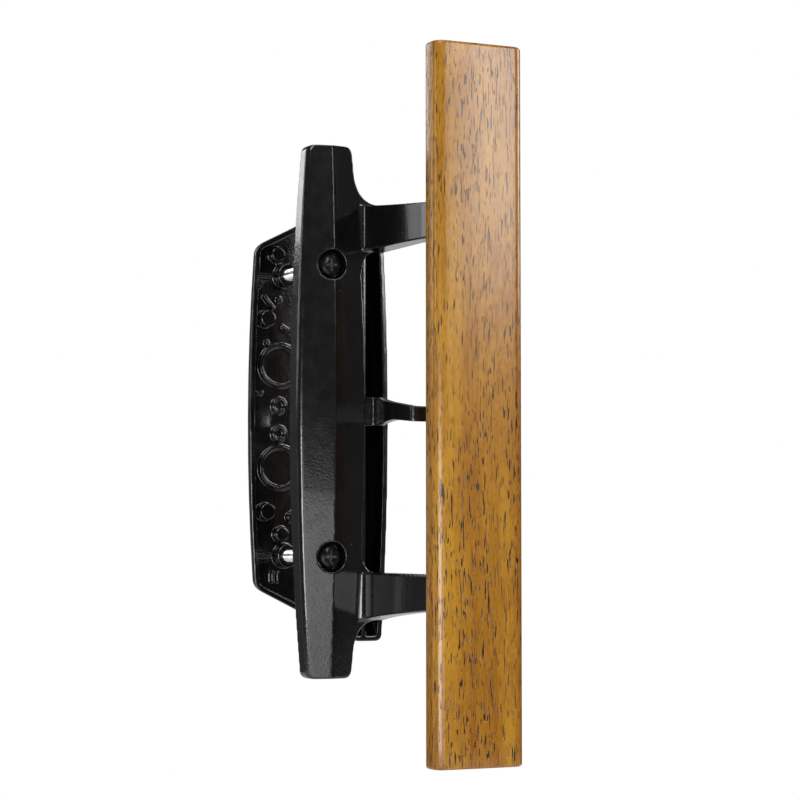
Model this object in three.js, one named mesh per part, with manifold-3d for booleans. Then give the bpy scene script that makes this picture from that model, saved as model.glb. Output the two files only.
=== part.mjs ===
// Handle set for a sliding patio door: a hardwood pull on a die-cast inside base, a thumb
// lever that turns the lock's tailpiece, and a die-cast outside pull, joined by two long
// machine screws that clamp the door between the two castings.
//
// Millimetres. X runs along the door from the screw line towards the wooden pull, +Y points
// through the door to the outside, +Z is up. Shapes are drawn about the middle of the screw
// line on the base's door face, and the whole set is then lifted so that the origin lies on
// the flat land at the base's lower end.
import * as THREE from 'three';
import { mergeVertices } from 'three/addons/utils/BufferGeometryUtils.js';
import Module from 'manifold-3d';

const wasm = await Module();
wasm.setup();

// ---- driving dimensions --------------------------------------------------------------
const SCREW_Z = 50;            // half of the 100 mm (3-15/16 in) screw spacing
const DOOR_GAP = 30;           // clear space between the two castings
const LAND_Z = 87;             // distance from the screws' middle to the end land's middle
const WALL = 2.2;              // casting wall
const GAP = 0.3;               // running and seating clearance between separate pieces

const BASE = { halfHeight: 91.4, endHalfWidth: 8.5, bow: 3.95, corner: 3.2,
  ridge: 10.35, endRidge: 7.4, facetSlope: 0.188, cavityHalfHeight: 82, ribZ: 30, ribTop: -3.4,
  leftChamfer: 1.2 };
const RECESS = { radius: 5.1, floor: -4.3, bossRadius: 6.8, clearBore: 2.4 };
const MACHINE_SCREW = { radius: 2.1, headRadius: 4.2, headHeight: 2.7, tip: DOOR_GAP + 5 };

const WOOD = { left: 14.1, right: 46.9, front: -59.6, back: -50.1, bottom: -118.3, top: 119.7,
  frontRound: 2.2, backRound: 2.5, endBevel: 1 };
const ARM = { inner: 55.5, outerRoot: 71.8, outerTip: 67.4, strapRight: 21.5, padLeft: 28.6,
  padRight: 39.5, padFront: -49.8, padRear: -45.6, screwX: 33.5, screwZ: 61.2 };
const WOOD_SCREW = { radius: 2.1, headRadius: 4.2, headHeight: 2.4, tip: -57 };

const HUB = { radius: 7.5, front: -6.4, rear: -3.4, collarRadius: 4.5, collarEnd: 3.2 };
const STUB_RADIUS = 3;         // stub inside the base that the hub turns on
const STUB_TOP = HUB.front + 1.8;
const LEVER = { neckFront: -5.9, left: 17, thickness: 3.5, rootHalf: 4.9, armHalf: 2.9,
  bendY: -34.8, tipX: 36, tipHalf: 1.8, droop: 2.2 };
const NOTCH_HALF = 14;         // half height of the opening in the base's wall for the lever
const TAIL = { thickness: 1.6, width: 6.35, end: 24, root: -1.9 };
const PIN = { radius: 0.8, y: 1.8, halfLength: 4.2 };
const BRIDGE = { halfWidth: 6.5, centre: 9.5, ear: 16.8, sheet: 1.3, rear: -0.5,
  earRear: -1.8, postZ: 13.2, postRadius: 3 };
const BRIDGE_SCREW = { radius: 1.25, headRadius: 2.7, headHeight: 1.2, tip: -6.8 };

const STANDOFF = { x: -7.7, z: 34.3, radius: 2.9 };
const SCREW_BOSS = 4.1;        // radius of the outside pull's screw bosses
const CORE_RING = { x: -1.7, z: 18.2, drop: 0.4, inner: 6.7, outer: 7.9, top: DOOR_GAP + 3.6 };
const SMALL_RING = { x: -2, z: 5, drop: 1.6, inner: 1.9, outer: 2.8, top: DOOR_GAP + 3.4 };
const PADS = [{ x: -3.3, z: 57.6 }, { x: -1.5, z: -42.3 }];
const PULL = { left: -12.8, right: 36.6, topKnee: 20.4, topZ: 76.8, bottomKnee: 26.6,
  bottomZ: 80.7, topShoulderZ: 59.9, bottomShoulderZ: 61.2, leftBow: 1.97, rightBow: 2.45, seat: DOOR_GAP, face: DOOR_GAP + 7,
  crest: DOOR_GAP + 19, edgeRound: 4.5, wall: 2, ribLeft: 28.6, channelLeft: 30.2,
  ribZ: 36, padRadius: 2.6, padTop: DOOR_GAP + 1.5 };

// ---- materials -----------------------------------------------------------------------
const paint = (color, roughness, metalness) =>
  new THREE.MeshStandardMaterial({ color, roughness, metalness });
const blackCasting = paint(0x101011, 0.22, 0.1);
const blackScrew = paint(0x161617, 0.35, 0.4);
const zincPlate = paint(0xc4c6c8, 0.3, 1);
const springSteel = paint(0x9a9c9f, 0.35, 1);
const hardwood = paint(0xb06a2a, 0.4, 0);

// ---- solids --------------------------------------------------------------------------
function solid(geometry) {
  const bare = geometry.clone();
  bare.deleteAttribute('normal');
  bare.deleteAttribute('uv');
  const merged = mergeVertices(bare, 1e-4);
  return new wasm.Manifold(new wasm.Mesh({
    numProp: 3,
    vertProperties: new Float32Array(merged.attributes.position.array),
    triVerts: new Uint32Array(merged.index.array),
  }));
}

function geometryOf(manifold) {
  const mesh = manifold.getMesh();
  const geometry = new THREE.BufferGeometry();
  geometry.setAttribute('position', new THREE.BufferAttribute(mesh.vertProperties, 3));
  geometry.setIndex(new THREE.BufferAttribute(mesh.triVerts, 1));
  geometry.computeVertexNormals();
  return geometry;
}

const join = (first, ...rest) => rest.reduce((whole, next) => whole.add(next), first);
const cut = (first, ...rest) => rest.reduce((whole, next) => whole.subtract(next), first);

// A prism of a shape drawn in (x, z), standing from y0 to y1.
function prismY(shape, y0, y1, curveSegments = 10) {
  const geometry = new THREE.ExtrudeGeometry(shape,
    { depth: y1 - y0, bevelEnabled: false, curveSegments });
  return solid(geometry.rotateX(Math.PI / 2).translate(0, y1, 0));
}

// A prism of a shape drawn in (x, y), standing from z0 to z1.
function prismZ(shape, z0, z1, curveSegments = 8) {
  const geometry = new THREE.ExtrudeGeometry(shape,
    { depth: z1 - z0, bevelEnabled: false, curveSegments });
  return solid(geometry.translate(0, 0, z0));
}

// A prism of a shape drawn in (y, z), running from x0 to x1.
const ALONG_X = new THREE.Matrix4().makeBasis(
  new THREE.Vector3(0, 1, 0), new THREE.Vector3(0, 0, 1), new THREE.Vector3(1, 0, 0));
function prismXGeometry(shape, x0, x1, curveSegments = 12) {
  const geometry = new THREE.ExtrudeGeometry(shape,
    { depth: x1 - x0, bevelEnabled: false, curveSegments });
  return geometry.applyMatrix4(ALONG_X).translate(x0, 0, 0);
}
const prismX = (shape, x0, x1, curveSegments) =>
  solid(prismXGeometry(shape, x0, x1, curveSegments));

function box(x0, x1, y0, y1, z0, z1) {
  const geometry = new THREE.BoxGeometry(x1 - x0, y1 - y0, z1 - z0);
  return solid(geometry.translate((x0 + x1) / 2, (y0 + y1) / 2, (z0 + z1) / 2));
}

function rodY(radius, y0, y1, x = 0, z = 0, sides = 24) {
  const geometry = new THREE.CylinderGeometry(radius, radius, y1 - y0, sides);
  return solid(geometry.translate(x, (y0 + y1) / 2, z));
}

function ringY(inner, outer, y0, y1, x, z, sides = 24) {
  return cut(rodY(outer, y0, y1, x, z, sides), rodY(inner, y0 - 1, y1 + 1, x, z, sides));
}

// ---- outlines ------------------------------------------------------------------------
// A closed outline from corners given anticlockwise. Each corner is trimmed by its own
// length, and an edge may bow outwards on its way to the next corner.
function outline(corners) {
  const shape = new THREE.Shape();
  const count = corners.length;
  corners.forEach((corner, i) => {
    const before = corners[(i + count - 1) % count];
    const after = corners[(i + 1) % count];
    const enter = corner.at.clone().add(before.at.clone().sub(corner.at).setLength(corner.trim));
    const leave = corner.at.clone().add(after.at.clone().sub(corner.at).setLength(corner.trim));
    if (i === 0) {
      shape.moveTo(enter.x, enter.y);
    } else if (before.bow) {
      bowTo(shape, enter, before.bow);
    } else {
      shape.lineTo(enter.x, enter.y);
    }
    shape.quadraticCurveTo(corner.at.x, corner.at.y, leave.x, leave.y);
    if (i === count - 1 && corner.bow) {
      const first = corners[0];
      const start = first.at.clone().add(corner.at.clone().sub(first.at).setLength(first.trim));
      bowTo(shape, start, corner.bow);
    }
  });
  return shape;
}

function bowTo(shape, end, bow) {
  const start = shape.currentPoint.clone();
  const run = end.clone().sub(start);
  const outward = new THREE.Vector2(run.y, -run.x).setLength(2 * bow);
  const control = start.add(end).multiplyScalar(0.5).add(outward);
  shape.quadraticCurveTo(control.x, control.y, end.x, end.y);
}

// The same corners moved inwards by a wall thickness.
function inset(corners, distance) {
  const count = corners.length;
  return corners.map((corner, i) => {
    const arriving = corner.at.clone().sub(corners[(i + count - 1) % count].at).normalize();
    const leaving = corners[(i + 1) % count].at.clone().sub(corner.at).normalize();
    const a = new THREE.Vector2(-arriving.y, arriving.x);
    const b = new THREE.Vector2(-leaving.y, leaving.x);
    const move = a.clone().add(b).multiplyScalar(distance / (1 + a.dot(b)));
    return { ...corner, at: corner.at.clone().add(move), trim: Math.max(corner.trim - distance, 0.6) };
  });
}

const corner = (x, y, trim, bow = 0) => ({ at: new THREE.Vector2(x, y), trim, bow });

// A free outline: points are lines, and points with four numbers are a curve's control
// point and end.
function path(points) {
  const shape = new THREE.Shape();
  points.forEach((point, i) => {
    if (i === 0) {
      shape.moveTo(...point);
    } else if (point.length === 4) {
      shape.quadraticCurveTo(...point);
    } else {
      shape.lineTo(...point);
    }
  });
  return shape;
}

// ---- inside base ---------------------------------------------------------------------
// The front is two shallow facets that meet on a centre ridge, and the ridge itself is a
// long arc. Each facet is the arc carried sideways along its slope.
function facet(side, skin) {
  const reach = 110;
  const rise = (BASE.ridge - BASE.endRidge) * (reach / BASE.halfHeight) ** 2;
  const edge = -BASE.ridge + rise;
  const block = prismXGeometry(path([[20, -reach], [edge, -reach],
    [-BASE.ridge - rise, 0, edge, reach], [20, reach]]), -70, 70, 40);
  block.translate(0, BASE.ridge, 0).rotateZ(side * Math.atan(BASE.facetSlope));
  return solid(block.translate(0, skin - BASE.ridge, 0));
}

const roof = (skin) => facet(1, skin).intersect(facet(-1, skin));

const baseCorners = [
  corner(-BASE.endHalfWidth, -BASE.halfHeight, BASE.corner),
  corner(BASE.endHalfWidth, -BASE.halfHeight, BASE.corner, BASE.bow),
  corner(BASE.endHalfWidth, BASE.halfHeight, BASE.corner),
  corner(-BASE.endHalfWidth, BASE.halfHeight, BASE.corner, BASE.bow),
];

// One arm: a shoulder that widens the base, a strap that sweeps forward, and a pad that
// spreads behind the wood. side is +1 for the upper arm and -1 for the lower one.
function arm(side) {
  const { inner, outerRoot, outerTip, strapRight, padLeft, padRight, padFront, padRear } = ARM;
  const mirrored = (points) =>
    points.map((point) => point.map((value, i) => (i % 2 ? side * value : value)));
  const shoulder = prismY(path(mirrored([[6, 84], [8.6, 84], [9.6, 72.5, 18, outerRoot],
    [strapRight, outerRoot - 0.4], [strapRight, inner], [17.6, inner],
    [11.9, inner - 0.3, 11.5, 47], [6, 47]])), -20, 0, 14).intersect(facet(1, 0));
  const plan = prismZ(path([[8, -4], [9.2, -6.6], [13.1, -6.2, 13.5, -13],
    [13.6, -34, 16.8, padFront], [padRight, padFront], [padRight, padRear], [padLeft, padRear],
    [22.2, padRear, strapRight, -34], [strapRight, -4]]), -100, 100, 14);
  const taper = prismX(path(mirrored([[-3, inner], [-60, inner], [-60, outerTip - 0.6],
    [WOOD.back, outerTip], [-16, outerTip + 2.3, -5, outerRoot], [-3, outerRoot]])), 0, 60);
  return join(shoulder, plan.intersect(taper));
}

function insideBase() {
  const slab = prismY(outline(baseCorners), -20, 0, 28);
  const sharp = slab.intersect(roof(0));
  const outer = wasm.Manifold.hull([sharp.intersect(sharp.translate(BASE.leftChamfer, 0, 0)),
    slab.intersect(roof(BASE.leftChamfer))]);
  const cavity = prismY(outline(inset(baseCorners, WALL)), -20, 1, 16).intersect(roof(WALL))
    .intersect(box(-20, 20, -20, 2, -BASE.cavityHalfHeight, BASE.cavityHalfHeight));
  const leverNotch = box(8, 15, HUB.front + 0.2, 1, -NOTCH_HALF, NOTCH_HALF);
  let hollow = cavity.subtract(rodY(STUB_RADIUS, -20, STUB_TOP));
  let cuts = leverNotch;
  for (const z of [-SCREW_Z, SCREW_Z]) {
    hollow = hollow.subtract(rodY(RECESS.bossRadius, -20, 2, 0, z, 32));
    cuts = join(cuts, rodY(RECESS.radius, -20, RECESS.floor, 0, z, 40),
      rodY(RECESS.clearBore, -20, 1, 0, z));
  }
  for (const z of [-BRIDGE.postZ, BRIDGE.postZ]) {
    const postTop = BRIDGE.earRear - BRIDGE.sheet - GAP;
    hollow = hollow.subtract(rodY(BRIDGE.postRadius, -20, postTop, 0, z, 16));
    cuts = join(cuts, rodY(BRIDGE_SCREW.radius + GAP, BRIDGE_SCREW.tip - GAP, 1, 0, z, 12));
  }
  for (const z of [-BASE.ribZ, BASE.ribZ]) {
    hollow = hollow.subtract(box(-12, 12, -20, BASE.ribTop, z - 0.8, z + 0.8));
  }
  for (const z of [-ARM.screwZ, ARM.screwZ]) {
    cuts = join(cuts, rodY(WOOD_SCREW.radius + GAP, -60, -40, ARM.screwX, z, 16));
  }
  return cut(join(outer, arm(1), arm(-1)), hollow, cuts);
}

// ---- wooden pull ---------------------------------------------------------------------
function woodGrip() {
  const { left, right, front, back, frontRound, backRound, endBevel, bottom, top } = WOOD;
  const section = path([[(left + right) / 2, front], [right - frontRound, front],
    [right, front, right, front + frontRound], [right, back - backRound],
    [right, back, right - backRound, back], [left + backRound, back],
    [left, back, left, back - backRound], [left, front + frontRound],
    [left, front, left + frontRound, front]]);
  const bar = new THREE.ExtrudeGeometry(section, { depth: top - bottom - 2 * endBevel,
    bevelEnabled: true, bevelThickness: endBevel, bevelSize: endBevel, bevelOffset: -endBevel,
    bevelSegments: 2, curveSegments: 6 });
  const holes = [-ARM.screwZ, ARM.screwZ].map((z) =>
    rodY(WOOD_SCREW.radius + GAP, WOOD_SCREW.tip - 0.6, back + 1, ARM.screwX, z, 16));
  return cut(solid(bar.translate(0, 0, bottom + endBevel)), ...holes);
}

// ---- screws --------------------------------------------------------------------------
// A pan-head screw along Y with a cross recess. The head starts at y = seat and its top
// faces `facing`; the shank runs the other way to `tip`.
function crossScrew(spec, seat, facing) {
  const { radius, headRadius, headHeight, tip } = spec;
  const top = seat + facing * headHeight;
  const profile = [[0, top], [0.62 * headRadius, top],
    [0.9 * headRadius, top - facing * 0.3 * headHeight],
    [headRadius, top - facing * 0.6 * headHeight], [headRadius, seat], [radius, seat],
    [radius, tip + facing * radius], [0.45 * radius, tip], [0, tip]];
  const ordered = facing < 0 ? profile : profile.reverse();
  const blank = solid(new THREE.LatheGeometry(ordered.map(([r, y]) => new THREE.Vector2(r, y)), 20));
  const half = 0.58 * headRadius;
  const slot = 0.11 * headRadius;
  const deep = seat + facing * 0.45 * headHeight;
  const y0 = Math.min(deep, top + facing);
  const y1 = Math.max(deep, top + facing);
  return cut(blank, box(-half, half, y0, y1, -slot, slot), box(-slot, slot, y0, y1, -half, half));
}

// ---- latch lever and its parts -------------------------------------------------------
function latchLever() {
  const { neckFront, left, thickness, rootHalf, armHalf, bendY, tipX, tipHalf, droop } = LEVER;
  const right = left + thickness;
  const disc = rodY(HUB.radius, HUB.front, HUB.rear, 0, 0, 32);
  const collar = rodY(HUB.collarRadius, HUB.rear - 0.5, HUB.collarEnd);
  const plan = prismZ(path([[4, neckFront], [left - 1.2, neckFront],
    [left, neckFront, left, neckFront - 1.6],
    [left, bendY + 1], [left, bendY, left + 1, bendY - 0.4], [tipX - 1, bendY - 6.2],
    [tipX + 1, bendY - 6.4, tipX + 0.6, bendY - 3.2], [right + 0.6, bendY + 2.6],
    [right, bendY + 2.4, right, bendY + 4], [right, HUB.rear - 2],
    [right, HUB.rear, right - 2, HUB.rear], [4, HUB.rear]]), -20, 20);
  const side = prismX(path([[1, -rootHalf], [neckFront - 0.4, -rootHalf],
    [neckFront - 6, -armHalf - 0.7, neckFront - 15, -armHalf - 0.5],
    [bendY - 1, -armHalf - droop + 0.4],
    [bendY - 8, -tipHalf - droop - 0.6], [bendY - 8, tipHalf - droop], [bendY - 1, armHalf - droop - 0.4],
    [neckFront - 15, armHalf - 0.6], [neckFront - 6, armHalf + 0.5, neckFront - 0.4, rootHalf],
    [1, rootHalf]]), 0, 60);
  const front = prismY(path([[0, -12], [right - 1, -12], [right + 3.4, -tipHalf - droop - 0.4],
    [tipX - 1, -tipHalf - droop], [tipX + 1, -tipHalf - droop, tipX + 1, -droop],
    [tipX + 1, tipHalf - droop, tipX - 1, tipHalf - droop], [right + 3.4, tipHalf - droop + 0.4],
    [right - 1, 12], [0, 12]]), -60, 2);
  const blank = join(disc, collar, plan.intersect(side).intersect(front));
  const blade = box(-TAIL.thickness / 2 - GAP, TAIL.thickness / 2 + GAP, TAIL.root - GAP, 10,
    -TAIL.width / 2 - GAP, TAIL.width / 2 + GAP);
  return cut(blank, rodY(STUB_RADIUS + GAP, -20, STUB_TOP + GAP), blade, rodX(PIN.radius + GAP, -10, 10));
}

function rodX(radius, x0, x1) {
  const geometry = new THREE.CylinderGeometry(radius, radius, x1 - x0, 12);
  return solid(geometry.rotateZ(Math.PI / 2).translate((x0 + x1) / 2, PIN.y, 0));
}

function tailpiece() {
  const half = TAIL.width / 2;
  const profile = path([[TAIL.root, -half], [TAIL.end - 2, -half],
    [TAIL.end, -half, TAIL.end, -half + 2],
    [TAIL.end, half - 2], [TAIL.end, half, TAIL.end - 2, half], [TAIL.root, half]]);
  return cut(prismX(profile, -TAIL.thickness / 2, TAIL.thickness / 2, 5),
    rodX(PIN.radius + GAP, -10, 10));
}

// The pressed bridge that holds the hub in: a raised middle and two lower ears.
function retainingBridge() {
  const { halfWidth, centre, ear, sheet, rear, earRear, postZ } = BRIDGE;
  const section = path([[rear, centre], [rear, -centre], [earRear, -centre - sheet], [earRear, -ear],
    [earRear - sheet, -ear], [earRear - sheet, -centre], [rear - sheet, -centre + sheet],
    [rear - sheet, centre - sheet], [earRear - sheet, centre], [earRear - sheet, ear],
    [earRear, ear], [earRear, centre + sheet]]);
  return cut(prismX(section, -halfWidth, halfWidth), rodY(HUB.collarRadius + GAP, -9, 3),
    ...[-postZ, postZ].map((z) => rodY(BRIDGE_SCREW.radius + GAP, -9, 3, 0, z, 12)));
}

// A wave washer between the hub and the bridge, drawn at its pressed height.
const waveWasher = () =>
  ringY(HUB.collarRadius + GAP, HUB.radius - 0.4, HUB.rear + GAP, HUB.rear + 1, 0, 0, 32);

// ---- outside pull --------------------------------------------------------------------
const pullCorners = [
  corner(PULL.left, -PULL.bottomShoulderZ, 3),
  corner(PULL.bottomKnee, -PULL.bottomZ, 1.5),
  corner(PULL.right, -PULL.bottomZ, 2.8, PULL.rightBow),
  corner(PULL.right, PULL.topZ, 3.4),
  corner(PULL.topKnee, PULL.topZ, 1.5),
  corner(PULL.left, PULL.topShoulderZ, 3, PULL.leftBow),
];

// The face plate: its outer edge is rounded from the seat up to the flat face.
function facePlate() {
  const { seat, face, edgeRound } = PULL;
  const rise = face - seat - 0.8;
  const slab = new THREE.ExtrudeGeometry(outline(inset(pullCorners, edgeRound)), { depth: 20,
    bevelEnabled: true, bevelThickness: rise, bevelSize: edgeRound, bevelSegments: 4,
    curveSegments: 8 });
  return solid(slab.rotateX(Math.PI / 2).translate(0, face - rise, 0));
}

// The skin in plan: a finger hollow that climbs to the grip's crest.
function gripSkin(skin) {
  const { seat, face, crest } = PULL;
  return prismZ(path([[22, 0], [22 - skin, face - skin], [27 - skin, face - skin, 29.6, crest - 3.4 - skin],
    [31.4, crest - skin, 34, crest - skin], [37.6 - skin, crest - skin, 39 - skin, seat + 8],
    [41, 0]]), -100, 100, 8);
}

function gripEnds(skin) {
  const { seat, face, crest, topZ, bottomZ } = PULL;
  const top = crest - skin;
  return prismX(path([[seat - 1, -90], [face - 1 - skin, -90], [face + 1 - skin, -bottomZ],
    [top, -72, top, -52], [top, 52], [top, 70, face + 1 - skin, topZ], [face - 1 - skin, 90],
    [seat - 1, 90]]), -30, 50, 8);
}

// One of the round core marks that stand on the pocket's floor.
const floorRing = ({ x, z, drop, inner, outer, top }, side, sides) =>
  ringY(inner, outer, top, PULL.face, x, side * z - drop, sides);

function outsidePull() {
  const { seat, face, crest, wall, ribLeft, channelLeft, ribZ, padRadius, padTop } = PULL;
  const whole = prismY(outline(pullCorners), seat, crest + 1, 12);
  const grip = whole.intersect(gripSkin(0)).intersect(gripEnds(0));
  const outer = join(whole.intersect(facePlate()), grip);
  const inner = prismY(outline(inset(pullCorners, wall)), seat - 1, crest, 12);
  const channel = inner.intersect(gripSkin(wall)).intersect(gripEnds(wall))
    .intersect(box(channelLeft, 60, seat - 2, 80, -100, 100));
  let pocket = inner.intersect(box(-30, ribLeft, seat - 2, face - wall, -100, 100));
  for (const side of [-1, 1]) {
    pocket = cut(pocket,
      rodY(SCREW_BOSS, seat, face, 0, side * SCREW_Z, 36),
      rodY(STANDOFF.radius, seat, face, STANDOFF.x, side * STANDOFF.z, 32),
      floorRing(CORE_RING, side, 48),
      floorRing(SMALL_RING, side, 32),
      box(-20, -5, seat + 2.4, face, side * SCREW_Z - 0.6, side * SCREW_Z + 0.6),
      box(8, ribLeft + 1, seat + 1, face, side * ribZ - 0.7, side * ribZ + 0.7));
  }
  for (const { x, z } of PADS) {
    pocket = cut(pocket, rodY(padRadius, padTop, face, x, z, 32));
  }
  const bores = [-SCREW_Z, SCREW_Z].map((z) =>
    rodY(RECESS.clearBore, seat - 1, MACHINE_SCREW.tip + GAP, 0, z));
  return cut(outer, channel, pocket, ...bores);
}

// ---- assembly ------------------------------------------------------------------------
const handleSet = new THREE.Group();
const set = new THREE.Group();
set.position.z = LAND_Z;
handleSet.add(set);

function place(name, shape, material, at = [0, 0, 0]) {
  const mesh = new THREE.Mesh(geometryOf(shape), material);
  mesh.name = name;
  mesh.position.set(...at);
  set.add(mesh);
}

place('inside_base', insideBase(), blackCasting);
place('wood_grip', woodGrip(), hardwood);
place('outside_pull', outsidePull(), blackCasting);

const machineScrew = crossScrew(MACHINE_SCREW, RECESS.floor - GAP, -1);
const woodScrew = crossScrew(WOOD_SCREW, ARM.padRear + GAP, 1);
const bridgeScrew = crossScrew(BRIDGE_SCREW, BRIDGE.earRear + GAP, 1);
for (const [end, side] of [['upper', 1], ['lower', -1]]) {
  place(`mounting_screw_${end}`, machineScrew, blackScrew, [0, 0, side * SCREW_Z]);
  place(`grip_screw_${end}`, woodScrew, zincPlate, [ARM.screwX, 0, side * ARM.screwZ]);
  place(`bridge_screw_${end}`, bridgeScrew, zincPlate, [0, 0, side * BRIDGE.postZ]);
}

place('latch_lever', latchLever(), blackCasting);
place('tailpiece', tailpiece(), zincPlate);
place('tailpiece_pin', rodX(PIN.radius, -PIN.halfLength, PIN.halfLength), springSteel);
place('wave_washer', waveWasher(), springSteel);
place('retaining_bridge', retainingBridge(), zincPlate);

export default handleSet;
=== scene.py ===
import math
import bmesh
import bpy
from mathutils import Matrix, Quaternion, Vector


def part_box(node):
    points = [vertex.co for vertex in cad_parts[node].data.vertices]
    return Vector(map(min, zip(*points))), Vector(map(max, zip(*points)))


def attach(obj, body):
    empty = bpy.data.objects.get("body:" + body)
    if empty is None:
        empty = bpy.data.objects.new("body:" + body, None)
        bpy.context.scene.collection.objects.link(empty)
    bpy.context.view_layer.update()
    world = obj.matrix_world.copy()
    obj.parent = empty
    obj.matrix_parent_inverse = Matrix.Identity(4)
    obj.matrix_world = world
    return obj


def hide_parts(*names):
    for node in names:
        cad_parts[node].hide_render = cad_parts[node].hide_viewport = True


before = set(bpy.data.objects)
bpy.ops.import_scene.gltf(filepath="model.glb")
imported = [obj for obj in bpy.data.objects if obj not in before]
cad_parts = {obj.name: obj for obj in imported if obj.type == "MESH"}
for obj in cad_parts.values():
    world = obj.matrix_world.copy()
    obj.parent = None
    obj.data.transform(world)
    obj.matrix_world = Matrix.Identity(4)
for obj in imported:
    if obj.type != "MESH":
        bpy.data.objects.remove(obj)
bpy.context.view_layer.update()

# ---- inside base ---------------------------------------------------------------------
# The room-side casting: a ridged plate with two arms that carry the wooden pull. It is
# die-cast in zinc, tumbled so that its edges are soft, and stove-enamelled gloss black.
SCREWS_MIDDLE = 0.087


def empty_material(name):
    material = bpy.data.materials.new(name)
    material.use_nodes = True
    return material, material.node_tree.nodes, material.node_tree.links


def stretched_coordinates(nodes, links, stretch):
    place = nodes.new("ShaderNodeTexCoord")
    mapping = nodes.new("ShaderNodeMapping")
    mapping.inputs["Scale"].default_value = stretch
    links.new(place.outputs["Object"], mapping.inputs["Vector"])
    return mapping.outputs["Vector"]


def noise(nodes, links, coordinates, scale, detail=2.0, rough=0.5):
    texture = nodes.new("ShaderNodeTexNoise")
    texture.inputs["Scale"].default_value = scale
    texture.inputs["Detail"].default_value = detail
    texture.inputs["Roughness"].default_value = rough
    links.new(coordinates, texture.inputs["Vector"])
    return texture.outputs["Fac"]


def ramp(nodes, links, source, stops):
    steps = nodes.new("ShaderNodeValToRGB")
    elements = steps.color_ramp.elements
    while len(elements) < len(stops):
        elements.new(0.5)
    for element, (position, colour) in zip(elements, stops):
        element.position = position
        element.color = (*colour, 1.0)
    links.new(source, steps.inputs["Fac"])
    return steps.outputs["Color"]


def span(nodes, links, source, from_low, from_high, low, high):
    remap = nodes.new("ShaderNodeMapRange")
    remap.inputs["From Min"].default_value = from_low
    remap.inputs["From Max"].default_value = from_high
    remap.inputs["To Min"].default_value = low
    remap.inputs["To Max"].default_value = high
    links.new(source, remap.inputs["Value"])
    return remap.outputs["Result"]


def bump(nodes, links, height, strength, distance, under=None):
    node = nodes.new("ShaderNodeBump")
    node.inputs["Strength"].default_value = strength
    node.inputs["Distance"].default_value = distance
    links.new(height, node.inputs["Height"])
    if under is not None:
        links.new(under, node.inputs["Normal"])
    return node.outputs["Normal"]


def mixed(nodes, links, factor, first, second):
    node = nodes.new("ShaderNodeMix")
    node.data_type = "RGBA"
    links.new(factor, node.inputs["Factor"])
    for socket, value in ((node.inputs[6], first), (node.inputs[7], second)):
        if isinstance(value, tuple):
            socket.default_value = (*value, 1.0)
        else:
            links.new(value, socket)
    return node.outputs[2]


def specks(nodes, links, coordinates, scale, radius, share):
    """1 inside sparse round specks, 0 elsewhere."""
    cells = nodes.new("ShaderNodeTexVoronoi")
    cells.inputs["Scale"].default_value = scale
    links.new(coordinates, cells.inputs["Vector"])
    inside = span(nodes, links, cells.outputs["Distance"], radius, radius * 0.4, 0.0, 1.0)
    channels = nodes.new("ShaderNodeSeparateColor")
    links.new(cells.outputs["Color"], channels.inputs["Color"])
    chosen = span(nodes, links, channels.outputs["Red"], share, share * 0.92, 0.0, 1.0)
    both = nodes.new("ShaderNodeMath")
    both.operation = "MULTIPLY"
    links.new(inside, both.inputs[0])
    links.new(chosen, both.inputs[1])
    return both.outputs["Value"]


def gloss_black_enamel():
    material, nodes, links = empty_material("gloss_black_enamel")
    shader = nodes["Principled BSDF"]
    plain = stretched_coordinates(nodes, links, (1.0, 1.0, 1.0))
    cloud = noise(nodes, links, plain, 90.0, 3.0)
    paint = ramp(nodes, links, cloud,
                 [(0.3, (0.0022, 0.0022, 0.0024)), (0.7, (0.0048, 0.0048, 0.005))])
    dust = specks(nodes, links, plain, 420.0, 0.09, 0.07)
    colour = mixed(nodes, links, dust, paint, (0.16, 0.16, 0.155))
    links.new(colour, shader.inputs["Base Color"])
    haze = noise(nodes, links, plain, 260.0, 4.0)
    links.new(span(nodes, links, haze, 0.3, 0.7, 0.1, 0.2), shader.inputs["Roughness"])
    peel = bump(nodes, links, noise(nodes, links, plain, 1150.0, 3.0), 0.11, 0.00035)
    grit = bump(nodes, links, dust, 0.3, 0.00008, peel)
    links.new(grit, shader.inputs["Normal"])
    shader.inputs["IOR"].default_value = 1.52
    shader.inputs["Coat Weight"].default_value = 0.35
    shader.inputs["Coat Roughness"].default_value = 0.05
    return material


enamel = gloss_black_enamel()


def merged_copy(node):
    """A bmesh of a CAD node with its loose triangles merged."""
    mesh = bmesh.new()
    mesh.from_mesh(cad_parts[node].data)
    bmesh.ops.remove_doubles(mesh, verts=mesh.verts, dist=0.000001)
    return mesh


def piece_from(mesh, name, material):
    data = bpy.data.meshes.new(name)
    mesh.to_mesh(data)
    mesh.free()
    piece = bpy.data.objects.new(name, data)
    bpy.context.scene.collection.objects.link(piece)
    piece.data.materials.clear()
    piece.data.materials.append(material)
    return piece


def settle(piece):
    """Applies the piece's modifiers to its mesh."""
    bpy.context.view_layer.update()
    evaluated = piece.evaluated_get(bpy.context.evaluated_depsgraph_get())
    finished = bpy.data.meshes.new_from_object(evaluated)
    piece.modifiers.clear()
    piece.data = finished
    return piece


def soften_casting(piece, grain, rounds, keep):
    """Fuses a casting's parts into one skin and rounds its edges, as tumbling does."""
    fuse = piece.modifiers.new("fuse", "REMESH")
    fuse.mode = "VOXEL"
    fuse.voxel_size = grain
    tumble = piece.modifiers.new("tumble", "SMOOTH")
    tumble.factor = 0.5
    tumble.iterations = rounds
    thin_out = piece.modifiers.new("thin_out", "DECIMATE")
    thin_out.ratio = keep
    settle(piece)
    for face in piece.data.polygons:
        face.use_smooth = True
    return piece


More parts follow.
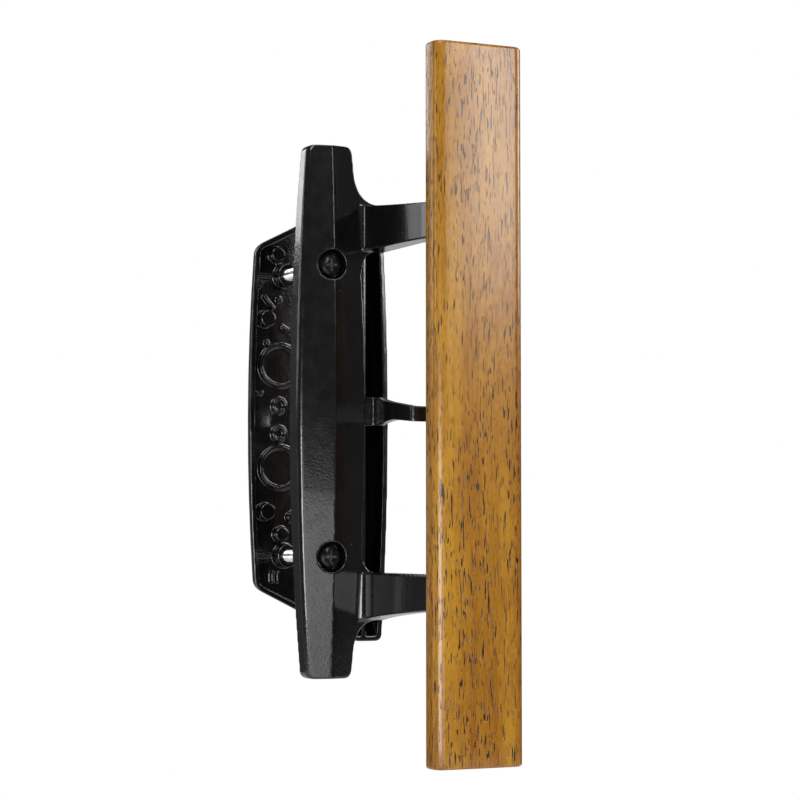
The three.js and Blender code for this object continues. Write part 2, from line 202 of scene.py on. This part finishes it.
def block(mesh, low, high, turn=0.0):
    """A block between two corners, turned about its own middle in the door's plane."""
    low, high = Vector(low), Vector(high)
    place = (Matrix.Translation((low + high) / 2) @ Matrix.Rotation(turn, 4, "Y")
             @ Matrix.Diagonal((*(high - low), 1.0)))
    return bmesh.ops.create_cube(mesh, size=1.0, matrix=place)["verts"]


def peg(mesh, radius, start, end, x, z, sides=40):
    """A round peg along the screws' direction, from y = start to y = end."""
    place = Matrix.Translation((x, (start + end) / 2, z)) @ Matrix.Rotation(-math.pi / 2, 4, "X")
    return bmesh.ops.create_cone(mesh, cap_ends=True, segments=sides, radius1=radius, radius2=radius,
                                 depth=abs(end - start), matrix=place)["verts"]


base_mesh = merged_copy("inside_base")
inside_base = piece_from(base_mesh, "inside_base_casting", enamel)
soften_casting(inside_base, grain=0.0003, rounds=7, keep=0.4)
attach(inside_base, "handle")
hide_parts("inside_base")

# ---- outside pull --------------------------------------------------------------------
# The weather-side casting, hollow at the back, with screw bosses, standoffs, round core
# marks and short stiffening ribs in its pocket. Zinc die-casting in the same enamel.
pull_mesh = merged_copy("outside_pull")
POCKET_FLOOR = 0.0355
RIB_TOP = 0.0334
HALF_RIB = 0.00045
for x, z, length, turn in [(-0.0022, 0.054, 0.003, math.pi / 2), (-0.0062, 0.0404, 0.0058, 0.85),
                           (-0.0096, 0.0078, 0.0026, 0.0), (-0.0046, -0.0576, 0.0034, math.pi / 2),
                           (-0.0026, -0.0576, 0.0034, math.pi / 2), (0.0002, 0.0312, 0.0022, 0.5)]:
    block(pull_mesh, (x - length / 2, RIB_TOP, z + SCREWS_MIDDLE - HALF_RIB),
          (x + length / 2, POCKET_FLOOR, z + SCREWS_MIDDLE + HALF_RIB), turn)
for x, z, radius, rim in [(-0.0022, 0.0414, 0.0009, 0.0326), (-0.0068, 0.0258, 0.0008, 0.0334),
                          (0.0026, -0.0362, 0.0018, 0.0322), (-0.0096, 0.0462, 0.0007, 0.0336),
                          (-0.0042, -0.0254, 0.0007, 0.0336)]:
    peg(pull_mesh, radius, rim, POCKET_FLOOR, x, z + SCREWS_MIDDLE, 20)
outside_pull = piece_from(pull_mesh, "outside_pull_casting", enamel)
soften_casting(outside_pull, grain=0.00032, rounds=4, keep=0.31)
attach(outside_pull, "handle")
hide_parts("outside_pull")

# ---- latch lever ---------------------------------------------------------------------
# The thumb lever whose hub turns inside the base and whose bent tip reaches behind the
# wooden pull. A small zinc casting, enamelled to match, held in by the pressed bridge.
latch_lever = piece_from(merged_copy("latch_lever"), "latch_lever_casting", enamel)
soften_casting(latch_lever, grain=0.0002, rounds=7, keep=0.4)
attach(latch_lever, "latch")
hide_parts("latch_lever")

# ---- tailpiece and its pin -----------------------------------------------------------
# A flat steel blade that reaches through the door into the lock, pinned crosswise in the
# lever's collar. The blade is sheared from zinc-plated strip and the pin is spring steel.


def plated_steel(name, dark, light, low_rough, high_rough, drawn):
    material, nodes, links = empty_material(name)
    shader = nodes["Principled BSDF"]
    lengthwise = stretched_coordinates(nodes, links, drawn)
    plain = stretched_coordinates(nodes, links, (1.0, 1.0, 1.0))
    lines = noise(nodes, links, lengthwise, 1.0, 4.0, 0.6)
    stain = noise(nodes, links, plain, 300.0, 3.0)
    metal = ramp(nodes, links, stain, [(0.3, dark), (0.65, light)])
    links.new(metal, shader.inputs["Base Color"])
    links.new(span(nodes, links, lines, 0.3, 0.7, low_rough, high_rough), shader.inputs["Roughness"])
    links.new(bump(nodes, links, lines, 0.12, 0.00005), shader.inputs["Normal"])
    shader.inputs["Metallic"].default_value = 1.0
    return material


bright_zinc = plated_steel("bright_zinc_plate", (0.5, 0.51, 0.54), (0.72, 0.73, 0.75), 0.16, 0.32,
                           (2500.0, 160.0, 2500.0))
spring_steel = plated_steel("oiled_spring_steel", (0.26, 0.26, 0.28), (0.42, 0.42, 0.44), 0.22, 0.4,
                            (900.0, 900.0, 900.0))


def break_edges(mesh, edges, width, segments=3):
    bmesh.ops.bevel(mesh, geom=edges, offset=width, offset_type="OFFSET", segments=segments,
                    profile=0.5, affect="EDGES", clamp_overlap=True, material=-1)


def smooth_by_angle(piece, degrees):
    for face in piece.data.polygons:
        face.use_smooth = True
    piece.data.set_sharp_from_angle(angle=math.radians(degrees))
    return piece


def cut_away(piece, cutter_mesh):
    """Takes a cutter's shape out of a piece and throws the cutter away."""
    cutter = piece_from(cutter_mesh, piece.name + "_cutter", piece.data.materials[0])
    take = piece.modifiers.new("cut", "BOOLEAN")
    take.operation = "DIFFERENCE"
    take.solver = "EXACT"
    take.use_self = True
    take.object = cutter
    settle(piece)
    bpy.data.objects.remove(cutter)
    return piece


low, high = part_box("tailpiece")
END_CORNER = 0.0018
SHEARED_EDGE = 0.0002
blade_mesh = bmesh.new()
block(blade_mesh, low, high)
far_end = [edge for edge in blade_mesh.edges
           if all(vert.co.y > high.y - 0.0001 for vert in edge.verts)
           and abs(edge.verts[0].co.x - edge.verts[1].co.x) > 0.001]
break_edges(blade_mesh, far_end, END_CORNER, 6)
sharp = [edge for edge in blade_mesh.edges if edge.calc_face_angle(0) > 0.6]
break_edges(blade_mesh, sharp, SHEARED_EDGE, 2)
tail_blade = smooth_by_angle(piece_from(blade_mesh, "tail_blade", bright_zinc), 35)
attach(tail_blade, "latch")
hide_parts("tailpiece")

low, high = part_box("tailpiece_pin")
PIN_RADIUS = (high.y - low.y) / 2
PIN_CHAMFER = 0.0002
pin_mesh = bmesh.new()
pin_place = Matrix.Translation((low + high) / 2) @ Matrix.Rotation(math.pi / 2, 4, "Y")
bmesh.ops.create_cone(pin_mesh, cap_ends=True, segments=32, radius1=PIN_RADIUS,
                      radius2=PIN_RADIUS, depth=high.x - low.x, matrix=pin_place)
rims = [edge for edge in pin_mesh.edges if edge.calc_face_angle(0) > 1.0]
break_edges(pin_mesh, rims, PIN_CHAMFER, 3)
cross_pin = smooth_by_angle(piece_from(pin_mesh, "cross_pin", spring_steel), 40)
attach(cross_pin, "latch")
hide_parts("tailpiece_pin")

# ---- wave washer ---------------------------------------------------------------------
# A thin spring-steel ring with three waves, squeezed between the lever's hub and the
# bridge so that the lever stays where it is put.
low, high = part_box("wave_washer")
WASHER_THICKNESS = 0.0003
WASHER_WIDTH = 0.00215
WAVES = 3
washer_mesh = bmesh.new()
bmesh.ops.create_circle(washer_mesh, cap_ends=True, segments=96, radius=(high.x - low.x) / 2)
disc = washer_mesh.faces[:]
bmesh.ops.inset_region(washer_mesh, faces=disc, thickness=WASHER_WIDTH, use_boundary=True,
                        use_even_offset=True)
bmesh.ops.delete(washer_mesh, geom=disc, context="FACES")
bmesh.ops.solidify(washer_mesh, geom=washer_mesh.faces[:], thickness=WASHER_THICKNESS)
bmesh.ops.rotate(washer_mesh, verts=washer_mesh.verts, matrix=Matrix.Rotation(math.pi / 2, 3, "X"))
washer_low = min(vert.co.y for vert in washer_mesh.verts)
wave_room = high.y - low.y - WASHER_THICKNESS
for vert in washer_mesh.verts:
    turn = math.atan2(vert.co.z, vert.co.x)
    vert.co.y += low.y - washer_low + wave_room * 0.5 * (1 + math.sin(WAVES * turn))
bmesh.ops.translate(washer_mesh, verts=washer_mesh.verts, vec=(0, 0, SCREWS_MIDDLE))
bmesh.ops.recalc_face_normals(washer_mesh, faces=washer_mesh.faces)
wave_washer = smooth_by_angle(piece_from(washer_mesh, "wave_washer_spring", spring_steel), 40)
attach(wave_washer, "handle")
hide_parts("wave_washer")

# ---- retaining bridge ----------------------------------------------------------------
# A strip of zinc-plated sheet steel, pressed up in the middle over the lever's hub and
# screwed down at its two ears.
low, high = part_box("retaining_bridge")
SHEET = 0.0013
RAISED_HALF = 0.0092
FOOT_HALF = 0.0105
HUB_HOLE = 0.0048
EAR_HOLE = 0.00155
EAR_REACH = 0.0132
DRILL_ENDS = (-0.008, 0.004)
BEND_ROUND = 0.0008
CORNER_ROUND = 0.0016
ROLLED_EDGE = 0.00015
ear_y = low.y + SHEET
bridge_mesh = bmesh.new()
profile = [(ear_y, low.z), (ear_y, SCREWS_MIDDLE - FOOT_HALF),
           (high.y, SCREWS_MIDDLE - RAISED_HALF), (high.y, SCREWS_MIDDLE + RAISED_HALF),
           (ear_y, SCREWS_MIDDLE + FOOT_HALF), (ear_y, high.z)]
line = [bridge_mesh.verts.new((low.x, y, z)) for y, z in profile]
for first, second in zip(line, line[1:]):
    bridge_mesh.edges.new((first, second))
strip = bmesh.ops.extrude_edge_only(bridge_mesh, edges=bridge_mesh.edges[:])
across = [item for item in strip["geom"] if isinstance(item, bmesh.types.BMVert)]
bmesh.ops.translate(bridge_mesh, verts=across, vec=(high.x - low.x, 0, 0))
bmesh.ops.recalc_face_normals(bridge_mesh, faces=bridge_mesh.faces)
if sum(face.normal.y for face in bridge_mesh.faces) < 0:
    bmesh.ops.reverse_faces(bridge_mesh, faces=bridge_mesh.faces)
bends = [edge for edge in bridge_mesh.edges if edge.calc_face_angle(0) > 0.3]
break_edges(bridge_mesh, bends, BEND_ROUND, 4)
bmesh.ops.solidify(bridge_mesh, geom=bridge_mesh.faces[:], thickness=SHEET)
outer_corners = [
    edge for edge in bridge_mesh.edges
    if edge.calc_length() < SHEET * 1.2
    and abs(edge.verts[0].co.y - edge.verts[1].co.y) > 0.001
    and min(abs(edge.verts[0].co.z - low.z), abs(edge.verts[0].co.z - high.z)) < 0.0001]
break_edges(bridge_mesh, outer_corners, CORNER_ROUND, 5)
bridge = piece_from(bridge_mesh, "pressed_bridge", bright_zinc)
drills = bmesh.new()
peg(drills, HUB_HOLE, *DRILL_ENDS, 0, SCREWS_MIDDLE, 48)
for z in (-EAR_REACH, EAR_REACH):
    peg(drills, EAR_HOLE, *DRILL_ENDS, 0, SCREWS_MIDDLE + z, 24)
cut_away(bridge, drills)
rolled = bridge.modifiers.new("rolled_edges", "BEVEL")
rolled.width = ROLLED_EDGE
rolled.segments = 2
rolled.limit_method = "ANGLE"
rolled.angle_limit = math.radians(50)
smooth_by_angle(settle(bridge), 35)
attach(bridge, "handle")
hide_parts("retaining_bridge")

# ---- screws --------------------------------------------------------------------------
# Six pan-head screws with cross recesses: two long number 8 machine screws with blacked
# heads, two short wood screws behind the pull, and two small ones in the bridge.


def blacked_screw():
    """Blacked steel. Faces whose "bare" attribute is 1 have lost the blacking to the driver."""
    material, nodes, links = empty_material("blacked_screw_head")
    shader = nodes["Principled BSDF"]
    plain = stretched_coordinates(nodes, links, (1.0, 1.0, 1.0))
    scuff = noise(nodes, links, plain, 900.0, 5.0, 0.65)
    black = ramp(nodes, links, scuff,
                 [(0.45, (0.006, 0.006, 0.007)), (0.72, (0.03, 0.03, 0.032))])
    bare = nodes.new("ShaderNodeAttribute")
    bare.attribute_name = "bare"
    worn = span(nodes, links, scuff, 0.4, 0.6, 0.35, 1.0)
    showing = nodes.new("ShaderNodeMath")
    showing.operation = "MULTIPLY"
    links.new(bare.outputs["Fac"], showing.inputs[0])
    links.new(worn, showing.inputs[1])
    links.new(mixed(nodes, links, showing.outputs["Value"], black, (0.55, 0.55, 0.56)),
              shader.inputs["Base Color"])
    links.new(span(nodes, links, showing.outputs["Value"], 0.0, 1.0, 0.35, 1.0),
              shader.inputs["Metallic"])
    links.new(span(nodes, links, scuff, 0.3, 0.7, 0.1, 0.24), shader.inputs["Roughness"])
    links.new(bump(nodes, links, scuff, 0.1, 0.0001), shader.inputs["Normal"])
    return material


black_head = blacked_screw()


def threaded_shank(mesh, radius, depth, pitch, start, end, x, z, sides=28):
    """A helical thread along y: one tooth's profile spun with a rise of one pitch a turn."""
    turns = int(abs(end - start) / pitch) - 1
    direction = 1 if end > start else -1
    rise = direction * pitch
    root, crest = radius - depth, radius
    base = start + direction * 0.0002
    tooth = [(root, base), (crest, base + rise * 0.42), (crest, base + rise * 0.58),
             (root, base + rise)]
    points = [mesh.verts.new((x + r, y, z)) for r, y in tooth]
    edges = [mesh.edges.new(pair) for pair in zip(points, points[1:])]
    bmesh.ops.spin(mesh, geom=points + edges, cent=(x, base, z), axis=(0, 1, 0),
                   dvec=(0, rise / sides, 0), angle=2 * math.pi * turns, steps=sides * turns)
    bmesh.ops.remove_doubles(mesh, verts=mesh.verts, dist=0.00001)


def screw(name, node, head_face, shank, thread, material, shank_material, body="handle"):
    """A pan head between the node's own head end and head_face, and a threaded shank."""
    low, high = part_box(node)
    x, z = (low.x + high.x) / 2, (low.z + high.z) / 2
    radius = (high.x - low.x) / 2
    toward = 1 if abs(high.y - head_face) < abs(low.y - head_face) else -1
    top = high.y if toward > 0 else low.y
    tall = abs(top - head_face)
    head = bmesh.new()
    outline = [(0.0, top), (0.55 * radius, top), (0.78 * radius, top - toward * 0.1 * tall),
               (0.93 * radius, top - toward * 0.34 * tall), (radius, top - toward * 0.7 * tall),
               (radius, top - toward * 0.94 * tall), (0.97 * radius, head_face), (0.0, head_face)]
    points = [head.verts.new((x + r, y, z)) for r, y in outline]
    edges = [head.edges.new(pair) for pair in zip(points, points[1:])]
    bmesh.ops.spin(head, geom=points + edges, cent=(x, 0, z), axis=(0, 1, 0), angle=2 * math.pi,
                   steps=56, use_merge=True)
    bmesh.ops.remove_doubles(head, verts=head.verts, dist=0.000005)
    bmesh.ops.recalc_face_normals(head, faces=head.faces)
    piece = piece_from(head, name + "_head", material)
    cross = bmesh.new()
    for turn in (0.0, math.pi / 2):
        arm = block(cross, (x - 0.6 * radius, top - toward * 0.72 * tall, z - 0.12 * radius),
                    (x + 0.6 * radius, top + toward * 0.001, z + 0.12 * radius), turn)
        for vert in arm:
            if (vert.co.y - top) * toward < 0:
                vert.co.x = x + (vert.co.x - x) * 0.45
                vert.co.z = z + (vert.co.z - z) * 0.45
    cone = peg(cross, 0.26 * radius, top - 0.9 * toward * tall, top + toward * 0.001, x, z, 16)
    for vert in cone:
        if (vert.co.y - top) * toward < 0:
            vert.co.x = x + (vert.co.x - x) * 0.2
            vert.co.z = z + (vert.co.z - z) * 0.2
    bmesh.ops.recalc_face_normals(cross, faces=cross.faces)
    cut_away(piece, cross)
    bare = piece.data.attributes.new("bare", "FLOAT", "FACE")
    for face in piece.data.polygons:
        reach = math.hypot(face.center.x - x, face.center.z - z)
        sunk = (top - face.center.y) * toward
        bare.data[face.index].value = float(reach < 0.64 * radius and sunk > 0.05 * tall)
    smooth_by_angle(piece, 30)
    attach(piece, body)
    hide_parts(node)
    shank_mesh = bmesh.new()
    far = low.y if toward > 0 else high.y
    core_radius, depth, pitch = shank
    peg(shank_mesh, core_radius - depth * 0.9, min(head_face, far), max(head_face, far), x, z, 32)
    threaded_shank(shank_mesh, core_radius, depth, pitch, thread, far, x, z)
    bmesh.ops.recalc_face_normals(shank_mesh, faces=shank_mesh.faces)
    shaft = smooth_by_angle(piece_from(shank_mesh, name + "_shank", shank_material), 35)
    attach(shaft, body)
    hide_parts(node)
    return piece, shaft


# A shank is its radius, its thread's depth and its pitch.
MACHINE_SHANK = (0.00208, 0.0004, 0.0008)
WOOD_SHANK = (0.00208, 0.0005, 0.0014)
SMALL_SHANK = (0.00124, 0.00025, 0.0006)
PLATE_FACE = -0.0046
PAD_FACE = -0.0453
WOOD_THREAD_START = -0.0475
BRIDGE_FACE = -0.0015
SMALL_THREAD_START = -0.0018
for end in ("upper", "lower"):
    head, shaft = screw("machine_screw_" + end, "mounting_screw_" + end, PLATE_FACE,
                        MACHINE_SHANK, PLATE_FACE, black_head, bright_zinc)
    head, shaft = screw("wood_screw_" + end, "grip_screw_" + end, PAD_FACE,
                        WOOD_SHANK, WOOD_THREAD_START, bright_zinc, bright_zinc)
    head, shaft = screw("small_screw_" + end, "bridge_screw_" + end, BRIDGE_FACE,
                        SMALL_SHANK, SMALL_THREAD_START, bright_zinc, bright_zinc)

# ---- wooden pull ---------------------------------------------------------------------
# A planed bar of open-pored, mahogany-like hardwood with rounded long edges, stained
# honey brown and lacquered. Two screws through the arms' pads hold it from behind.


def lacquered_hardwood():
    material, nodes, links = empty_material("lacquered_hardwood")
    shader = nodes["Principled BSDF"]
    wander = stretched_coordinates(nodes, links, (30.0, 30.0, 9.0))
    sway = noise(nodes, links, wander, 1.0, 2.0)
    lean = nodes.new("ShaderNodeVectorMath")
    lean.operation = "SCALE"
    lean.inputs[0].default_value = (0.006, 0.004, 0.0)
    links.new(sway, lean.inputs["Scale"])
    place = nodes.new("ShaderNodeTexCoord")
    grain_place = nodes.new("ShaderNodeVectorMath")
    grain_place.operation = "ADD"
    links.new(place.outputs["Object"], grain_place.inputs[0])
    links.new(lean.outputs["Vector"], grain_place.inputs[1])

    def along_grain(stretch):
        mapping = nodes.new("ShaderNodeMapping")
        mapping.inputs["Scale"].default_value = stretch
        links.new(grain_place.outputs["Vector"], mapping.inputs["Vector"])
        return mapping.outputs["Vector"]

    bands = noise(nodes, links, along_grain((150.0, 110.0, 5.0)), 1.0, 3.0, 0.6)
    figure = noise(nodes, links, along_grain((70.0, 60.0, 34.0)), 1.0, 4.0, 0.62)
    fibres = noise(nodes, links, along_grain((1900.0, 1900.0, 110.0)), 1.0, 3.0, 0.7)
    flecks = noise(nodes, links, along_grain((900.0, 900.0, 420.0)), 1.0, 2.0, 0.6)
    ground = ramp(nodes, links, bands, [(0.3, (0.175, 0.058, 0.003)), (0.5, (0.262, 0.112, 0.006)),
                                        (0.7, (0.35, 0.176, 0.013))])
    mottled = mixed(nodes, links, span(nodes, links, figure, 0.4, 0.68, 0.0, 0.62), ground,
                    (0.15, 0.042, 0.003))
    streaked = mixed(nodes, links, span(nodes, links, fibres, 0.4, 0.66, 0.0, 0.42), mottled,
                     (0.4, 0.195, 0.02))
    freckled = mixed(nodes, links, span(nodes, links, flecks, 0.5, 0.68, 0.0, 0.28), streaked,
                     (0.14, 0.042, 0.003))

    def pores(stretch, low, high):
        """Open pores: short dashes along the grain where a long-drawn noise peaks."""
        return span(nodes, links, noise(nodes, links, along_grain(stretch), 1.0, 1.0, 0.4),
                    low, high, 0.0, 1.0)

    clusters = noise(nodes, links, along_grain((110.0, 110.0, 16.0)), 1.0, 2.0)
    gathered = nodes.new("ShaderNodeMath")
    gathered.operation = "MULTIPLY"
    links.new(pores((1900.0, 1900.0, 240.0), 0.622, 0.645), gathered.inputs[0])
    links.new(span(nodes, links, clusters, 0.38, 0.56, 0.25, 1.0), gathered.inputs[1])
    either = nodes.new("ShaderNodeMath")
    either.operation = "MAXIMUM"
    links.new(gathered.outputs["Value"], either.inputs[0])
    links.new(pores((1700.0, 1700.0, 130.0), 0.655, 0.68), either.inputs[1])
    depth = span(nodes, links, either.outputs["Value"], 0.0, 1.0, 0.0, 0.94)
    colour = mixed(nodes, links, depth, freckled, (0.022, 0.007, 0.002))
    links.new(colour, shader.inputs["Base Color"])
    links.new(span(nodes, links, fibres, 0.3, 0.7, 0.42, 0.58), shader.inputs["Roughness"])
    furrow = span(nodes, links, either.outputs["Value"], 0.0, 1.0, 1.0, 0.0)
    ripple = bump(nodes, links, fibres, 0.16, 0.00006)
    pore_dents = bump(nodes, links, furrow, 0.5, 0.00012, ripple)
    links.new(pore_dents, shader.inputs["Normal"])
    links.new(pore_dents, shader.inputs["Coat Normal"])
    shader.inputs["IOR"].default_value = 1.48
    shader.inputs["Coat Weight"].default_value = 1.0
    shader.inputs["Coat Roughness"].default_value = 0.2
    shader.inputs["Specular IOR Level"].default_value = 0.0
    shader.inputs["Coat IOR"].default_value = 1.5
    return material


low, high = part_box("wood_grip")
FRONT_ROUND = 0.0038
BACK_ROUND = 0.0025
END_ROUND = 0.0011
bar_mesh = bmesh.new()
block(bar_mesh, low, high)


def upright_edges(mesh, front):
    y = low.y if front else high.y
    return [edge for edge in mesh.edges
            if abs(edge.verts[0].co.z - edge.verts[1].co.z) > 0.1
            and all(abs(vert.co.y - y) < 0.00001 for vert in edge.verts)]


break_edges(bar_mesh, upright_edges(bar_mesh, True), FRONT_ROUND, 12)
break_edges(bar_mesh, upright_edges(bar_mesh, False), BACK_ROUND, 8)
ends = [edge for edge in bar_mesh.edges
        if abs(edge.verts[0].co.z - edge.verts[1].co.z) < 0.00001 and edge.calc_face_angle(0) > 1.0]
break_edges(bar_mesh, ends, END_ROUND, 5)
long_edges = [edge for edge in bar_mesh.edges if edge.calc_length() > 0.05]
bmesh.ops.subdivide_edges(bar_mesh, edges=long_edges, cuts=30, use_grid_fill=True)
wooden_pull = smooth_by_angle(piece_from(bar_mesh, "wooden_pull", lacquered_hardwood()), 40)
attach(wooden_pull, "handle")
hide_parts("wood_grip")

# ---- camera, floor and lights --------------------------------------------------------
# A plain studio: a pale floor, a white surround, and soft panels whose reflections draw
# the enamel's edges, the plate's lower left facet and the sheen on the lacquer.
camera = bpy.data.objects.new("camera", bpy.data.cameras.new("camera"))
bpy.context.scene.collection.objects.link(camera)
camera.data.sensor_width = 36.0
camera.data.lens = 106.2
camera.data.clip_start = 0.05
camera.data.clip_end = 20.0
camera.location = (-0.3254, -0.74415, 0.04535)
camera.rotation_euler = (math.radians(93.21), 0.0, math.radians(-25.5))
bpy.context.scene.camera = camera

FLOOR_LEVEL = -0.3
FLOOR_RADIUS = 1.6
floor_mesh = bmesh.new()
bmesh.ops.create_circle(floor_mesh, cap_ends=True, segments=96, radius=FLOOR_RADIUS,
                        matrix=Matrix.Translation((0, 0, FLOOR_LEVEL)))
pale, pale_nodes, pale_links = empty_material("pale_floor")
pale_shader = pale_nodes["Principled BSDF"]
pale_plain = stretched_coordinates(pale_nodes, pale_links, (1.0, 1.0, 1.0))
pale_cloud = noise(pale_nodes, pale_links, pale_plain, 6.0)
pale_colour = ramp(pale_nodes, pale_links, pale_cloud,
                   [(0.3, (0.8, 0.8, 0.8)), (0.7, (0.84, 0.84, 0.84))])
pale_links.new(pale_colour, pale_shader.inputs["Base Color"])
pale_shader.inputs["Roughness"].default_value = 0.7
floor = piece_from(floor_mesh, "floor", pale)

world = bpy.data.worlds.new("studio")
world.use_nodes = True
bpy.context.scene.world = world
sky_nodes, sky_links = world.node_tree.nodes, world.node_tree.links
room = sky_nodes["Background"]
room.inputs["Color"].default_value = (1.0, 1.0, 1.0, 1.0)
room.inputs["Strength"].default_value = 0.1
backdrop = sky_nodes.new("ShaderNodeBackground")
backdrop.inputs["Strength"].default_value = 1.0
backdrop.inputs["Color"].default_value = (1.0, 1.0, 1.0, 1.0)
chooser = sky_nodes.new("ShaderNodeMixShader")
rays = sky_nodes.new("ShaderNodeLightPath")
sky_links.new(rays.outputs["Is Camera Ray"], chooser.inputs["Fac"])
sky_links.new(room.outputs["Background"], chooser.inputs[1])
sky_links.new(backdrop.outputs["Background"], chooser.inputs[2])
sky_links.new(chooser.outputs["Shader"], sky_nodes["World Output"].inputs["Surface"])


AIM = Vector((0.01, 0, SCREWS_MIDDLE))


def panel(name, azimuth, elevation, distance, width, height, radiance, roll=0.0):
    """A soft panel that faces the handle. Azimuth 0 is in front and 90 is to the right."""
    light = bpy.data.lights.new(name, "AREA")
    light.shape = "RECTANGLE"
    light.size = width
    light.size_y = height
    light.energy = math.pi * width * height * radiance
    lamp = bpy.data.objects.new(name, light)
    bpy.context.scene.collection.objects.link(lamp)
    turn, tilt = math.radians(azimuth), math.radians(elevation)
    away = Vector((math.sin(turn) * math.cos(tilt), -math.cos(turn) * math.cos(tilt), math.sin(tilt)))
    lamp.location = AIM + away * distance
    lamp.rotation_mode = "QUATERNION"
    lamp.rotation_quaternion = (away.to_track_quat("Z", "Y")
                                @ Quaternion((0, 0, 1), math.radians(roll)))
    lamp.visible_camera = False


panel("right_key", 31, 19, 1.5, 0.36, 0.64, 9.0)
panel("crease_strip", 13, 20, 1.5, 0.12, 0.46, 6.0)
panel("low_front_card", -6, -10, 1.3, 0.42, 0.42, 2.4, roll=-16)
panel("front_left_high", -34, 42, 1.3, 0.6, 0.5, 7.5)
panel("left_low", -40, -6, 1.3, 0.74, 0.34, 9.5)
panel("left_strip", -84, 12, 1.3, 0.14, 0.3, 6.0)
panel("left_wall", -112, -6, 1.3, 0.5, 0.3, 1.0)
panel("back_left_wall", -127, 18, 1.4, 0.36, 0.72, 2.6)
panel("back_left_dim", -143, 18, 1.4, 0.36, 0.72, 1.2)
panel("back_left_high", -160, 20.5, 1.4, 0.3, 0.42, 3.4)
panel("right_high", 84, 20, 1.3, 0.5, 0.6, 6.5)
panel("behind_low", 156, -9, 1.4, 0.8, 0.4, 0.5)
panel("overhead", 0, 82, 1.2, 0.9, 0.9, 3.3)

bpy.context.scene.view_settings.view_transform = "Standard"
bpy.context.scene.view_settings.look = "None"
